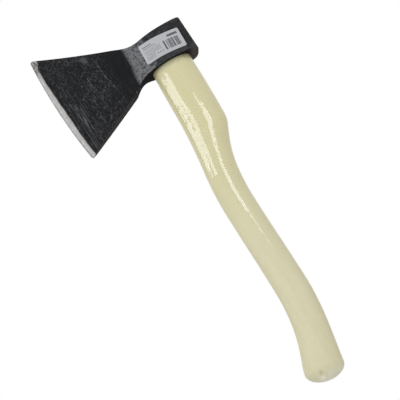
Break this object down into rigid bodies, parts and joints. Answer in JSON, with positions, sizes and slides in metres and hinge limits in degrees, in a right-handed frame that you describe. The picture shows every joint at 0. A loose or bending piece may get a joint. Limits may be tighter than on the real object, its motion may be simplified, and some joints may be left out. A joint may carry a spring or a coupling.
{
  "type": "hatchet",
  "caption": "Small forging-style hatchet with a broad flared blade, flat poll, oval eye and a curved, lacquered wooden handle held by wedges.",
  "frame": {"origin": "centre of the eye's mouth, on the flat underside of the head where the handle enters it", "axes": "+Z out of the top of the head, so the handle hangs along -Z; +X towards the poll and -X towards the cutting edge; Y across the cheeks, with the label on the -Y cheek"},
  "size_m": [0.159, 0.0381, 0.4417],
  "materials": {
    "blackened_steel": "forged, blackened and lightly oiled, ground bright along the cutting edge",
    "lacquered_wood": "pale wood under a glossy clear lacquer",
    "wedge_wood": "bare end grain",
    "wedge_steel": "plain rolled steel",
    "label_paper": null
  },
  "bodies": {
    "root": {"axe_head": "blackened_steel", "handle": "lacquered_wood", "kerf_wedge": "wedge_wood", "steel_wedge": "wedge_steel", "label": "label_paper"}
  },
  "joints": []
}
